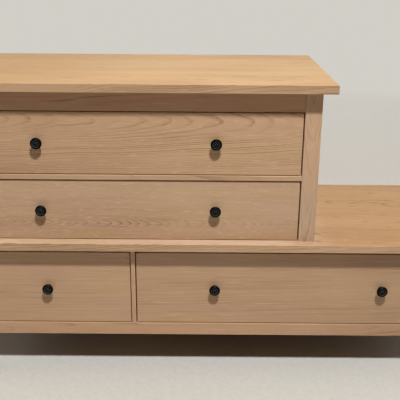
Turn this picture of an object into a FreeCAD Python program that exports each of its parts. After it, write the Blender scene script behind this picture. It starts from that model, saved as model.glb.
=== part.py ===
import FreeCAD
import Part
import Sketcher
import os
import re

# A stepped dresser: a low wide base with two drawers side by side, and a narrower
# chest of two full-width drawers standing on the left of the base's top board.
# Millimetres, +X to the right, +Y to the back, +Z up, origin on the floor below the middle.

# Driving sizes: name, number, meaning
SIZES = (
    ("lower_width", 1462, "base, over the outer faces of its legs"),
    ("upper_width", 1003, "upper chest, over the outer faces of its posts"),
    ("case_depth", 495, "front faces of the uprights to the back of the case"),
    ("upright_side", 43, "square section of the legs and posts"),
    ("floor_clearance", 110, "floor to the underside of the bottom rail"),
    ("bottom_rail_height", 36, "height of the bottom and rear rails"),
    ("lower_opening_height", 220.5, "drawer opening of the base"),
    ("head_rail_thickness", 12, "rail below the base top, over both drawers"),
    ("top_thickness", 22.5, "thickness of both top boards"),
    ("upper_opening_height", 171, "each drawer opening of the upper chest"),
    ("middle_rail_thickness", 13.5, "rail between the two upper drawers"),
    ("frieze_height", 53.5, "rail below the upper top board"),
    ("top_side_overhang", 32, "top boards past the uprights at each end"),
    ("lower_top_overhang", 27, "base top past the front faces"),
    ("upper_top_overhang", 36, "upper top past the front faces"),
    ("left_opening_width", 460, "opening of the narrow drawer"),
    ("partition_thickness", 12, "upright board between the base drawers"),
    ("partition_housing", 5, "partition let into the base top"),
    ("rail_thickness", 20, "bottom, rear and frieze rails, front to back"),
    ("middle_rail_depth", 36, "middle and head rails, front to back"),
    ("rail_setback", 2, "rail and partition faces behind the upright faces"),
    ("tenon_shoulder", 3, "step all round each tenon"),
    ("tenon_length", 15, "tenon in its upright"),
    ("side_panel_thickness", 16, "end panels of the case"),
    ("panel_inset", 6, "end panels behind the outer faces of the uprights"),
    ("panel_groove_depth", 8, "end panels let into the uprights"),
    ("back_panel_thickness", 6, "back panels"),
    ("back_panel_lap", 10, "back panels over the rear uprights"),
    ("back_panel_inset", 1.5, "back panels ahead of the back of the case"),
    ("dowel_diameter", 10, "dowels between uprights and top boards"),
    ("dowel_in_upright", 20, "dowel hole in the end of an upright"),
    ("dowel_in_top", 9, "dowel hole in a top board"),
    ("dowel_clearance", 0.1, "glue gap round and below a dowel"),
    ("drawer_side_gap", 2.5, "gap at each side of a drawer"),
    ("drawer_foot_gap", 1.5, "gap below a drawer"),
    ("upper_head_gap", 3, "gap above an upper drawer front"),
    ("lower_head_gap", 5, "gap above a base drawer front"),
    ("drawer_recess", 6, "drawer fronts behind the upright faces"),
    ("front_thickness", 20, "drawer fronts"),
    ("front_lap", 7, "wood left in front of the dovetails"),
    ("box_side_thickness", 13, "drawer sides"),
    ("box_back_thickness", 12, "drawer backs"),
    ("box_rear_space", 23, "drawer sides to the back panel"),
    ("back_setback", 10, "drawer back ahead of the ends of the sides"),
    ("back_housing", 5, "drawer back let into the sides"),
    ("side_drop", 10, "drawer sides below the top edge of the front"),
    ("bottom_thickness", 6, "drawer bottoms"),
    ("bottom_rise", 12, "drawer bottom above the lower edge of the sides"),
    ("bottom_groove_depth", 6, "drawer bottom let into front and sides"),
    ("dovetail_spacing", 36, "from one dovetail to the next"),
    ("dovetail_pin", 10, "pin between two dovetails at their wide ends"),
    ("dovetail_flare", 2, "widening of a dovetail on each side"),
    ("runner_height", 14, "drawer runners"),
    ("runner_engagement", 7, "runner in the groove of a drawer side"),
    ("runner_play", 0.3, "running gap between runner and groove"),
    ("runner_stop_setback", 10, "front end of the runner behind the drawer front"),
    ("runner_rear_space", 12, "rear end of the runner to the back panel"),
    ("knob_spacing", 464, "between the two knobs of a wide drawer"),
    ("upper_knob_rise", 2, "upper knobs above the middle of their openings"),
    ("knob_diameter", 30, "rim of a knob"),
    ("knob_projection", 23, "knob in front of the drawer front"),
    ("knob_base_diameter", 16, "foot of a knob"),
    ("knob_base_height", 3, "straight part of that foot"),
    ("knob_base_taper", 3, "slope from the foot to the neck"),
    ("knob_neck_diameter", 11, "neck of a knob"),
    ("knob_neck_end", 11, "front end of the neck, from the drawer front"),
    ("knob_rim_height", 4, "straight part of the rim"),
    ("knob_face_bevel", 3, "slope from the rim to the face, either way"),
    ("knob_dish_diameter", 18, "hollow in the face"),
    ("knob_dish_depth", 2, "depth of that hollow"),
    ("knob_dish_slope", 1, "width of its sloping side"),
    ("knob_button_diameter", 8, "button in the middle of the hollow"),
    ("knob_button_rise", 1, "button in front of the face"),
    ("screw_diameter", 4, "shank of a knob screw"),
    ("screw_in_knob", 11, "knob screw in the knob"),
    ("screw_clearance", 0.2, "gap round the screw and at its end"),
    ("screw_head_diameter", 9, "head of a knob screw"),
    ("screw_head_height", 2.5, "height of that head"),
    ("top_edge_radius", 1.5, "rounded edges of the top boards"),
    ("front_edge_radius", 1.5, "rounded edges of the drawer fronts"),
    ("case_edge_radius", 1.2, "rounded edges of uprights, rails and partition"),
    ("box_edge_radius", 1.5, "rounded top edges of the drawer sides and backs"),
    ("knob_edge_radius", 1.2, "rounded edges of a knob"),
    ("knob_neck_radius", 3, "hollow curve below the head of a knob"),
)

# Places and lengths that follow from the sizes
PLACES = {
    "left_face": "-lower_width / 2",
    "front_face": "(upper_top_overhang - case_depth) / 2",
    "back_face": "front_face + case_depth",
    "rail_top": "floor_clearance + bottom_rail_height",
    "head_rail_level": "rail_top + lower_opening_height",
    "lower_top_level": "head_rail_level + head_rail_thickness",
    "step_level": "lower_top_level + top_thickness",
    "middle_rail_level": "step_level + upper_opening_height",
    "upper_opening_level": "middle_rail_level + middle_rail_thickness",
    "frieze_level": "upper_opening_level + upper_opening_height",
    "upper_top_level": "frieze_level + frieze_height",
    "opening_left": "left_face + upright_side",
    "partition_left": "opening_left + left_opening_width",
    "right_opening_left": "partition_left + partition_thickness",
    "right_opening_width": "lower_width / 2 - upright_side - right_opening_left",
    "upper_opening_width": "upper_width - 2 * upright_side",
    "back_rebate": "back_panel_thickness + back_panel_inset",
    "partition_depth": "case_depth - rail_setback - back_rebate",
    "drawer_face": "front_face + drawer_recess",
    "box_start": "drawer_face + front_thickness",
    "box_depth": "back_face - back_rebate - box_rear_space - box_start",
    "box_back_start": "box_depth - back_setback - box_back_thickness",
    "tail_length": "front_thickness - front_lap",
    "bottom_top": "bottom_rise + bottom_thickness",
    "runner_length": "box_depth + box_rear_space - runner_rear_space - runner_stop_setback",
    "runner_reach": "drawer_side_gap + runner_engagement",
    "dowel_hole": "dowel_diameter + 2 * dowel_clearance",
    "screw_hole": "screw_diameter + 2 * screw_clearance",
    "knob_face": "knob_projection - knob_button_rise",
    "knob_rim_front": "knob_face - knob_face_bevel",
}

NORMALS = {"XY_Plane": "+Z", "XZ_Plane": "-Y", "YZ_Plane": "+X"}
NAMES_OF_SIZES = {alias for alias, number, meaning in SIZES}
WORD = re.compile("[a-z][a-z_]*")
TOUCH = 1e-4

doc = FreeCAD.newDocument("dresser")
sheet = doc.addObject("Spreadsheet::Sheet", "Sizes")
for row, (alias, number, meaning) in enumerate(SIZES, start=1):
    sheet.set(f"A{row}", meaning)
    sheet.set(f"B{row}", str(number))
    sheet.setAlias(f"B{row}", alias)
doc.recompute()

nodes = []


def expand(formula):
    """Write a formula of size and place names as an expression on the sheet's cells."""

    def cell_of(match):
        word = match.group(0)
        if word in PLACES:
            return "(" + expand(PLACES[word]) + ")"
        if word in NAMES_OF_SIZES:
            return "Sizes." + word
        raise ValueError("unknown name in a formula: " + word)

    return WORD.sub(cell_of, formula)


def number_of(formula):
    return float(sheet.evalExpression(expand(formula)))


def bind(item, path, formula):
    item.setExpression(path, expand(formula))


def place(item, x, y, z):
    bind(item, "Placement.Base.x", x)
    bind(item, "Placement.Base.y", y)
    bind(item, "Placement.Base.z", z)


def new_body(name):
    body = doc.addObject("PartDesign::Body", name)
    body.Label = name
    return body


def origin_feature(body, role):
    return next(feature for feature in body.Origin.OriginFeatures if feature.Role == role)


def new_sketch(body, name, plane, level):
    """An empty sketch parallel to a plane of the body, at a level along that plane's axis."""
    sketch = body.newObject("Sketcher::SketchObject", body.Name + "_" + name)
    sketch.AttachmentSupport = [(origin_feature(body, plane), "")]
    sketch.MapMode = "FlatFace"
    sign = "-" if NORMALS[plane].startswith("-") else ""
    bind(sketch, "AttachmentOffset.Base.z", f"{sign}({level})")
    return sketch


def fix_point(sketch, geometry, point, across, up):
    """Hold one point of a sketch at two formulas measured from the sketch's origin."""
    for kind, formula in (("DistanceX", across), ("DistanceY", up)):
        held = Sketcher.Constraint(kind, -1, 1, geometry, point, number_of(formula))
        index = sketch.addConstraint(held)
        bind(sketch, f"Constraints[{index}]", formula)


def outline(body, name, plane, points, level="0"):
    """A closed outline of straight lines through points that are given as formulas."""
    sketch = new_sketch(body, name, plane, level)
    corners = [FreeCAD.Vector(number_of(across), number_of(up), 0) for across, up in points]
    following = corners[1:] + corners[:1]
    sketch.addGeometry([Part.LineSegment(a, b) for a, b in zip(corners, following)], False)
    count = len(points)
    for line in range(count):
        sketch.addConstraint(Sketcher.Constraint("Coincident", line, 2, (line + 1) % count, 1))
    for line, (across, up) in enumerate(points):
        fix_point(sketch, line, 1, across, up)
    return sketch


def rectangle(across, up, width, height):
    far_across = f"{across} + {width}"
    far_up = f"{up} + {height}"
    return [(across, up), (far_across, up), (far_across, far_up), (across, far_up)]


def grow(body, name, plane, points, level, length, toward):
    """Pad an outline in the named direction."""
    sketch = outline(body, name + "_outline", plane, points, level)
    pad = body.newObject("PartDesign::Pad", body.Name + "_" + name)
    pad.Profile = sketch
    bind(pad, "Length", length)
    pad.Reversed = toward != NORMALS[plane]
    return pad


def pocket(body, name, sketch, plane, depth, toward):
    """Pocket a sketch in the named direction and make sure that it takes wood away."""
    doc.recompute()
    before = body.Shape.Volume
    feature = body.newObject("PartDesign::Pocket", body.Name + "_" + name)
    feature.Profile = sketch
    bind(feature, "Length", depth)
    feature.Reversed = toward == NORMALS[plane]
    doc.recompute()
    if body.Shape.Volume > before - TOUCH:
        raise RuntimeError("nothing is cut by " + feature.Name)
    return feature


def cut(body, name, plane, points, level, depth, toward):
    sketch = outline(body, name + "_outline", plane, points, level)
    return pocket(body, name, sketch, plane, depth, toward)


def bore(body, name, plane, across, up, diameter, level, depth, toward):
    sketch = new_sketch(body, name + "_circle", plane, level)
    centre = FreeCAD.Vector(number_of(across), number_of(up), 0)
    start_radius = number_of(diameter) / 2
    sketch.addGeometry(Part.Circle(centre, FreeCAD.Vector(0, 0, 1), start_radius), False)
    fix_point(sketch, 0, 3, across, up)
    index = sketch.addConstraint(Sketcher.Constraint("Diameter", 0, 2 * start_radius))
    bind(sketch, f"Constraints[{index}]", diameter)
    return pocket(body, name, sketch, plane, depth, toward)


def repeat_upward(body, feature, count, pitch):
    """A row of copies of one feature, going up."""
    pattern = body.newObject("PartDesign::LinearPattern", feature.Name + "_row")
    pattern.Originals = [feature]
    pattern.Direction = (origin_feature(body, "Z_Axis"), [""])
    bind(pattern, "Length", f"({pitch}) * {count - 1}")
    pattern.Occurrences = count
    body.Tip = pattern
    doc.recompute()


def round_over(body, radius, chosen):
    """Round the edges of the body so far for which chosen(edge box) is true."""
    doc.recompute()
    tip = body.Tip
    names = []
    for index, edge in enumerate(tip.Shape.Edges, start=1):
        if chosen(edge.BoundBox):
            names.append(f"Edge{index}")
    fillet = body.newObject("PartDesign::Fillet", body.Name + "_rounding")
    fillet.Base = (tip, names)
    bind(fillet, "Radius", radius)


def near(first, second):
    return abs(first - second) < TOUCH


def upright_edge(box):
    return box.XLength < TOUCH and box.YLength < TOUCH


def front_edge(box):
    return near(box.YMin, 0) and near(box.YMax, 0)


def board(name, x, y, z, width, depth, height):
    """A plain board as a box."""
    item = doc.addObject("Part::Box", name)
    item.Label = name
    bind(item, "Length", width)
    bind(item, "Width", depth)
    bind(item, "Height", height)
    place(item, x, y, z)
    return item


def worked_board(name, x, y, z, width, depth, height):
    """A board as a body, for one that is shaped further."""
    body = new_body(name)
    place(body, x, y, z)
    grow(body, "board", "XY_Plane", rectangle("0", "0", width, depth), "0", height, "+Z")
    return body


def round_corner(sketch, corner, radius):
    """Round one corner of an outline of straight lines with an arc."""
    start_radius = number_of(radius)
    sketch.fillet(corner, 1, start_radius, True, True)
    arc = sketch.GeometryCount - 1
    while sketch.Geometry[arc].TypeId != "Part::GeomArcOfCircle":
        arc -= 1
    index = sketch.addConstraint(Sketcher.Constraint("Radius", arc, start_radius))
    bind(sketch, f"Constraints[{index}]", radius)


def turned(name, points, rounded=None):
    """A body turned round its Y axis from an outline of (radius, Y) points.

    The keys of rounded are the numbers of the outline's corners that get an arc.
    """
    body = new_body(name)
    sketch = outline(body, "outline", "XY_Plane", points)
    for corner, radius in (rounded or {}).items():
        round_corner(sketch, corner, radius)
    revolution = body.newObject("PartDesign::Revolution", name + "_turning")
    revolution.Profile = sketch
    revolution.ReferenceAxis = (sketch, ["V_Axis"])
    revolution.Angle = 360
    doc.recompute()
    return body


def group(name, items):
    compound = doc.addObject("Part::Compound", name)
    compound.Label = name
    compound.Links = items
    nodes.append(compound)


# The two tiers of the case

TIERS = {
    "base": {
        "upright": "leg",
        "width": "lower_width",
        "foot": "0",
        "panel_foot": "floor_clearance",
        "head": "lower_top_level",
        "top_overhang": "lower_top_overhang",
    },
    "upper": {
        "upright": "post",
        "width": "upper_width",
        "foot": "step_level",
        "panel_foot": "step_level",
        "head": "upper_top_level",
        "top_overhang": "upper_top_overhang",
    },
}

RAILS = {
    "bottom_rail": {
        "tier": "base",
        "end": "front",
        "setback": "rail_setback",
        "depth": "rail_thickness",
        "level": "floor_clearance",
        "height": "bottom_rail_height",
    },
    "rear_rail": {
        "tier": "base",
        "end": "rear",
        "setback": "case_depth - back_rebate - rail_thickness",
        "depth": "rail_thickness",
        "level": "floor_clearance",
        "height": "bottom_rail_height",
    },
    "head_rail": {
        "tier": "base",
        "end": "front",
        "setback": "rail_setback",
        "depth": "middle_rail_depth",
        "level": "head_rail_level",
        "height": "head_rail_thickness",
    },
    "middle_rail": {
        "tier": "upper",
        "end": "front",
        "setback": "rail_setback",
        "depth": "middle_rail_depth",
        "level": "middle_rail_level",
        "height": "middle_rail_thickness",
    },
    "frieze_rail": {
        "tier": "upper",
        "end": "front",
        "setback": "rail_setback",
        "depth": "rail_thickness",
        "level": "frieze_level",
        "height": "frieze_height",
    },
}


def tenon_section(rail, start):
    """Outline of a rail's tenon across the rail, with its depth measured from start."""
    return rectangle(
        f"{rail['setback']} + tenon_shoulder - ({start})",
        f"{rail['level']} + tenon_shoulder",
        f"{rail['depth']} - 2 * tenon_shoulder",
        f"{rail['height']} - 2 * tenon_shoulder",
    )


def lower_outline(points, drop):
    return [(across, f"{up} - ({drop})") for across, up in points]


def upright_place(tier, end, hand):
    x = "left_face" if hand == "left" else f"left_face + {TIERS[tier]['width']} - upright_side"
    y = "front_face" if end == "front" else "back_face - upright_side"
    return x, y


def upright(tier_name, end, hand):
    """A leg or post with its panel groove, mortises, dowel holes and back rebate."""
    tier = TIERS[tier_name]
    name = f"{tier_name}_{end}_{hand}_{tier['upright']}"
    x, y = upright_place(tier_name, end, hand)
    foot = tier["foot"]
    length = f"{tier['head']} - ({foot})"
    panel_foot = f"{tier['panel_foot']} - ({foot})"
    panel_length = f"{tier['head']} - {tier['panel_foot']}"
    side = "upright_side"
    left = hand == "left"
    body = worked_board(name, x, y, foot, side, side, length)
    round_over(body, "case_edge_radius", upright_edge)

    groove_x = "panel_inset" if left else "upright_side - panel_inset - side_panel_thickness"
    groove_y = "upright_side - panel_groove_depth" if end == "front" else "0"
    groove = rectangle(groove_x, groove_y, "side_panel_thickness", "panel_groove_depth")
    cut(body, "panel_groove", "XY_Plane", groove, panel_foot, panel_length, "+Z")

    if end == "rear":
        rebate_x = "upright_side - back_panel_lap" if left else "0"
        rebate_y = "upright_side - back_rebate"
        rebate = rectangle(rebate_x, rebate_y, "back_panel_lap", "back_rebate")
        cut(body, "back_rebate", "XY_Plane", rebate, panel_foot, panel_length, "+Z")

    inner_face = "upright_side" if left else "0"
    inward = "-X" if left else "+X"
    start = "0" if end == "front" else "case_depth - upright_side"
    for rail_name, rail in RAILS.items():
        if rail["tier"] == tier_name and rail["end"] == end:
            mortise = lower_outline(tenon_section(rail, start), foot)
            cut(body, rail_name + "_mortise", "YZ_Plane", mortise, inner_face, "tenon_length", inward)

    middle = "upright_side / 2"
    hole = ("XY_Plane", middle, middle, "dowel_hole")
    bore(body, "top_dowel", *hole, length, "dowel_in_upright", "-Z")
    if tier_name == "upper":
        bore(body, "foot_dowel", *hole, "0", "dowel_in_upright", "+Z")
    nodes.append(body)


def rail_piece(name, rail):
    """A rail with a tenon at each end."""
    width = f"{TIERS[rail['tier']]['width']} - 2 * upright_side"
    y = f"front_face + {rail['setback']}"
    body = worked_board(name, "opening_left", y, rail["level"], width, rail["depth"], rail["height"])
    round_over(body, "case_edge_radius", lambda box: front_edge(box) and box.XLength > 1)
    section = lower_outline(tenon_section(rail, rail["setback"]), rail["level"])
    grow(body, "left_tenon", "YZ_Plane", section, "0", "tenon_length", "-X")
    grow(body, "right_tenon", "YZ_Plane", section, width, "tenon_length", "+X")
    nodes.append(body)


def top_board(name, tier_name):
    """A top board with rounded edges, open at the back, and its dowel holes."""
    tier = TIERS[tier_name]
    x = "left_face - top_side_overhang"
    y = f"front_face - {tier['top_overhang']}"
    width = f"{tier['width']} + 2 * top_side_overhang"
    depth = f"case_depth + {tier['top_overhang']}"
    body = worked_board(name, x, y, tier["head"], width, depth, "top_thickness")
    back = number_of(depth)
    round_over(body, "top_edge_radius", lambda box: not near(box.YMin, back))
    for standing in TIERS:
        if tier_name == "upper" and standing == "base":
            continue
        for end in ("front", "rear"):
            for hand in ("left", "right"):
                upright_x, upright_y = upright_place(standing, end, hand)
                across = f"{upright_x} + upright_side / 2 - ({x})"
                up = f"{upright_y} + upright_side / 2 - ({y})"
                below = standing == tier_name
                face = "0" if below else "top_thickness"
                into = "+Z" if below else "-Z"
                hole_name = f"{standing}_{end}_{hand}_dowel"
                bore(body, hole_name, "XY_Plane", across, up, "dowel_hole", face, "dowel_in_top", into)
    if tier_name == "base":
        housing = rectangle(
            f"partition_left - ({x})",
            f"{tier['top_overhang']} + rail_setback + middle_rail_depth",
            "partition_thickness",
            "partition_depth - middle_rail_depth",
        )
        cut(body, "partition_housing", "XY_Plane", housing, "0", "partition_housing", "+Z")
    nodes.append(body)


def dowel(name, tier_name, end, hand, joint_level, upright_below):
    """One dowel, centred on its upright, across the joint at joint_level."""
    item = doc.addObject("Part::Cylinder", name)
    item.Label = name
    x, y = upright_place(tier_name, end, hand)
    bind(item, "Radius", "dowel_diameter / 2")
    bind(item, "Height", "dowel_in_upright + dowel_in_top - 2 * dowel_clearance")
    below = "dowel_in_upright" if upright_below else "dowel_in_top"
    level = f"{joint_level} - {below} + dowel_clearance"
    place(item, f"{x} + upright_side / 2", f"{y} + upright_side / 2", level)
    return item


def case_pieces():
    top_board("base_top", "base")
    top_board("upper_top", "upper")
    dowels = []
    for tier_name, tier in TIERS.items():
        for end in ("front", "rear"):
            for hand in ("left", "right"):
                upright(tier_name, end, hand)
                name = f"{tier_name}_{end}_{hand}_dowel"
                dowels.append(dowel(name, tier_name, end, hand, tier["head"], True))
                if tier_name == "upper":
                    foot_name = name + "_below"
                    dowels.append(dowel(foot_name, tier_name, end, hand, tier["foot"], False))
        height = f"{tier['head']} - {tier['panel_foot']}"
        for hand in ("left", "right"):
            x = "left_face + panel_inset"
            if hand == "right":
                x = f"left_face + {tier['width']} - panel_inset - side_panel_thickness"
            nodes.append(board(
                f"{tier_name}_{hand}_panel",
                x,
                "front_face + upright_side - panel_groove_depth",
                tier["panel_foot"],
                "side_panel_thickness",
                "case_depth - 2 * upright_side + 2 * panel_groove_depth",
                height,
            ))
        nodes.append(board(
            f"{tier_name}_back_panel",
            "opening_left - back_panel_lap",
            "back_face - back_rebate",
            tier["panel_foot"],
            f"{tier['width']} - 2 * upright_side + 2 * back_panel_lap",
            "back_panel_thickness",
            height,
        ))
    group("dowels", dowels)
    for name, rail in RAILS.items():
        rail_piece(name, rail)
    partition = worked_board(
        "partition",
        "partition_left",
        "front_face + rail_setback",
        "rail_top",
        "partition_thickness",
        "partition_depth",
        "lower_opening_height + head_rail_thickness + partition_housing",
    )
    round_over(partition, "case_edge_radius", lambda box: upright_edge(box) and near(box.YMin, 0))
    notch = rectangle(
        "0",
        "lower_opening_height",
        "middle_rail_depth",
        "head_rail_thickness + partition_housing",
    )
    cut(partition, "head_rail_notch", "YZ_Plane", notch, "0", "partition_thickness", "+X")
    nodes.append(partition)


# The drawers

DRAWERS = {
    "top_drawer": {
        "left": "opening_left",
        "width": "upper_opening_width",
        "level": "upper_opening_level",
        "height": "upper_opening_height",
        "head_gap": "upper_head_gap",
        "knob_rise": "upper_knob_rise",
        "knobs": {"left": "-knob_spacing / 2", "right": "knob_spacing / 2"},
    },
    "second_drawer": {
        "left": "opening_left",
        "width": "upper_opening_width",
        "level": "step_level",
        "height": "upper_opening_height",
        "head_gap": "upper_head_gap",
        "knob_rise": "upper_knob_rise",
        "knobs": {"left": "-knob_spacing / 2", "right": "knob_spacing / 2"},
    },
    "narrow_drawer": {
        "left": "opening_left",
        "width": "left_opening_width",
        "level": "rail_top",
        "height": "lower_opening_height",
        "head_gap": "lower_head_gap",
        "knob_rise": "0",
        "knobs": {"middle": "0"},
    },
    "wide_drawer": {
        "left": "right_opening_left",
        "width": "right_opening_width",
        "level": "rail_top",
        "height": "lower_opening_height",
        "head_gap": "lower_head_gap",
        "knob_rise": "0",
        "knobs": {"left": "-knob_spacing / 2", "right": "knob_spacing / 2"},
    },
}


def dovetail(side_height, count, wide_y, narrow_y):
    """Outline of the lowest of a centred row of dovetails, seen from the side of the drawer."""
    middle = f"({side_height} - {count - 1} * dovetail_spacing) / 2"
    wide = "(dovetail_spacing - dovetail_pin) / 2"
    narrow = f"({wide} - dovetail_flare)"
    return [
        (wide_y, f"{middle} - {wide}"),
        (narrow_y, f"{middle} - {narrow}"),
        (narrow_y, f"{middle} + {narrow}"),
        (wide_y, f"{middle} + {wide}"),
    ]


def drawer_front(name, x, z, width, height, side_height, tails, knob_places):
    """A drawer front with dovetail sockets, a groove for the bottom and knob holes."""
    body = worked_board(name + "_front", x, "drawer_face", z, width, "front_thickness", height)
    round_over(body, "front_edge_radius", front_edge)
    socket = dovetail(side_height, tails, "front_lap", "front_thickness")
    thickness = "box_side_thickness"
    left_socket = cut(body, "left_socket", "YZ_Plane", socket, "0", thickness, "+X")
    repeat_upward(body, left_socket, tails, "dovetail_spacing")
    right_socket = cut(body, "right_socket", "YZ_Plane", socket, width, thickness, "-X")
    repeat_upward(body, right_socket, tails, "dovetail_spacing")
    groove = rectangle(
        "box_side_thickness - bottom_groove_depth",
        "front_thickness - bottom_groove_depth",
        f"{width} - 2 * (box_side_thickness - bottom_groove_depth)",
        "bottom_groove_depth",
    )
    cut(body, "bottom_groove", "XY_Plane", groove, "bottom_rise", "bottom_thickness", "+Z")
    for place_name, (knob_x, knob_z) in knob_places.items():
        across = f"{knob_x} - ({x})"
        up = f"{knob_z} - ({z})"
        hole = ("XZ_Plane", across, up, "screw_hole")
        bore(body, place_name + "_knob_hole", *hole, "0", "front_thickness", "+Y")
    nodes.append(body)


def drawer_side(name, hand, x, z, side_height, tails):
    """A drawer side with dovetails, a runner groove outside and two housings inside."""
    left = hand == "left"
    body = worked_board(
        f"{name}_{hand}_side",
        x,
        "box_start",
        z,
        "box_side_thickness",
        "box_depth",
        side_height,
    )
    top = number_of(side_height)
    round_over(
        body,
        "box_edge_radius",
        lambda box: near(box.ZMin, top) and box.YLength > 1,
    )
    tail = dovetail(side_height, tails, "-(tail_length)", "0")
    first_tail = grow(body, "tail", "YZ_Plane", tail, "0", "box_side_thickness", "+X")
    repeat_upward(body, first_tail, tails, "dovetail_spacing")

    groove = rectangle(
        "box_side_thickness - bottom_groove_depth" if left else "0",
        "-bottom_groove_depth",
        "bottom_groove_depth",
        "bottom_groove_depth + box_depth",
    )
    cut(body, "bottom_groove", "XY_Plane", groove, "bottom_rise", "bottom_thickness", "+Z")
    housing = rectangle(
        "box_side_thickness - back_housing" if left else "0",
        "box_back_start",
        "back_housing",
        "box_back_thickness",
    )
    housing_height = f"{side_height} - bottom_top"
    cut(body, "back_housing", "XY_Plane", housing, "bottom_top", housing_height, "+Z")
    runner_groove = rectangle(
        "runner_stop_setback - runner_play",
        f"({side_height} - runner_height) / 2 - runner_play",
        "box_depth - runner_stop_setback + runner_play",
        "runner_height + 2 * runner_play",
    )
    outside = "0" if left else "box_side_thickness"
    inward = "+X" if left else "-X"
    depth = "runner_engagement + runner_play"
    cut(body, "runner_groove", "YZ_Plane", runner_groove, outside, depth, inward)
    nodes.append(body)


def drawer_back(name, x, z, width, height):
    body = worked_board(
        name + "_back",
        x,
        "box_start + box_back_start",
        z,
        width,
        "box_back_thickness",
        height,
    )
    top = number_of(height)
    round_over(body, "box_edge_radius", lambda box: near(box.ZMin, top) and box.XLength > 1)
    nodes.append(body)


def runners(name, left_x, right_x, z):
    """The two wooden strips that carry a drawer, fixed to the case."""
    pair = []
    for hand, x in (("left", left_x), ("right", f"{right_x} - runner_reach")):
        pair.append(board(
            f"{name}_{hand}_runner",
            x,
            "box_start + runner_stop_setback",
            z,
            "runner_reach",
            "runner_length",
            "runner_height",
        ))
    group(name + "_runners", pair)


def knob(name, x, z):
    """A turned knob with a foot, a neck, a rimmed head and a hollow face with a button."""
    points = [
        ("screw_hole / 2", "0"),
        ("knob_base_diameter / 2", "0"),
        ("knob_base_diameter / 2", "-knob_base_height"),
        ("knob_neck_diameter / 2", "-knob_base_height - knob_base_taper"),
        ("knob_neck_diameter / 2", "-knob_neck_end"),
        ("knob_diameter / 2", "knob_rim_height - knob_rim_front"),
        ("knob_diameter / 2", "-knob_rim_front"),
        ("knob_diameter / 2 - knob_face_bevel", "-knob_face"),
        ("knob_dish_diameter / 2", "-knob_face"),
        ("knob_dish_diameter / 2 - knob_dish_slope", "knob_dish_depth - knob_face"),
        ("knob_button_diameter / 2", "knob_dish_depth - knob_face"),
        ("knob_button_diameter / 2", "-knob_projection"),
        ("0", "-knob_projection"),
        ("0", "-screw_in_knob - screw_clearance"),
        ("screw_hole / 2", "-screw_in_knob - screw_clearance"),
    ]
    rounded = {
        4: "knob_neck_radius",
        5: "knob_edge_radius",
        6: "knob_edge_radius",
        7: "knob_edge_radius",
    }
    body = turned(name, points, rounded)
    place(body, x, "drawer_face", z)
    nodes.append(body)


def knob_screw(name, x, z):
    """A screw from inside the drawer, through the front and into a knob."""
    points = [
        ("0", "-screw_in_knob"),
        ("screw_diameter / 2", "-screw_in_knob"),
        ("screw_diameter / 2", "front_thickness"),
        ("screw_head_diameter / 2", "front_thickness"),
        ("screw_head_diameter / 2", "front_thickness + screw_head_height"),
        ("0", "front_thickness + screw_head_height"),
    ]
    body = turned(name, points)
    place(body, x, "drawer_face", z)
    return body


def drawer(name, spec):
    x = f"{spec['left']} + drawer_side_gap"
    z = f"{spec['level']} + drawer_foot_gap"
    width = f"({spec['width']} - 2 * drawer_side_gap)"
    height = f"({spec['height']} - drawer_foot_gap - {spec['head_gap']})"
    side_height = f"({height} - side_drop)"
    tails = int(number_of(f"{side_height} / dovetail_spacing"))
    middle_x = f"{spec['left']} + {spec['width']} / 2"
    knob_z = f"{spec['level']} + {spec['height']} / 2 + ({spec['knob_rise']})"
    knob_places = {}
    for place_name, offset in spec["knobs"].items():
        knob_places[place_name] = (f"{middle_x} + {offset}", knob_z)

    drawer_front(name, x, z, width, height, side_height, tails, knob_places)
    drawer_side(name, "left", x, z, side_height, tails)
    drawer_side(name, "right", f"{x} + {width} - box_side_thickness", z, side_height, tails)
    drawer_back(
        name,
        f"{x} + box_side_thickness - back_housing",
        f"{z} + bottom_top",
        f"{width} - 2 * box_side_thickness + 2 * back_housing",
        f"{side_height} - bottom_top",
    )
    nodes.append(board(
        name + "_bottom",
        f"{x} + box_side_thickness - bottom_groove_depth",
        "box_start - bottom_groove_depth",
        f"{z} + bottom_rise",
        f"{width} - 2 * box_side_thickness + 2 * bottom_groove_depth",
        "bottom_groove_depth + box_depth - back_setback",
        "bottom_thickness",
    ))
    screws = []
    for place_name, (knob_x, knob_level) in knob_places.items():
        knob(f"{name}_{place_name}_knob", knob_x, knob_level)
        screws.append(knob_screw(f"{name}_{place_name}_screw", knob_x, knob_level))
    group(name + "_knob_screws", screws)
    right_x = f"{spec['left']} + {spec['width']}"
    runner_level = f"{z} + ({side_height} - runner_height) / 2"
    runners(name, spec["left"], right_x, runner_level)


case_pieces()
for drawer_name, drawer_spec in DRAWERS.items():
    drawer(drawer_name, drawer_spec)
doc.recompute()

for item in doc.Objects:
    if "Invalid" in item.State or "Error" in item.State:
        raise RuntimeError("failed to build: " + item.Label)

os.makedirs("parts", exist_ok=True)
for node in nodes:
    if node.Shape.isNull() or not node.Shape.isValid():
        raise RuntimeError("bad shape: " + node.Label)
    node.Shape.exportStep(f"parts/{node.Label}.step")
print(len(nodes), "nodes written")
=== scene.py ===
import math
import random

import bmesh
import bpy
from mathutils import Matrix, Vector


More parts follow.
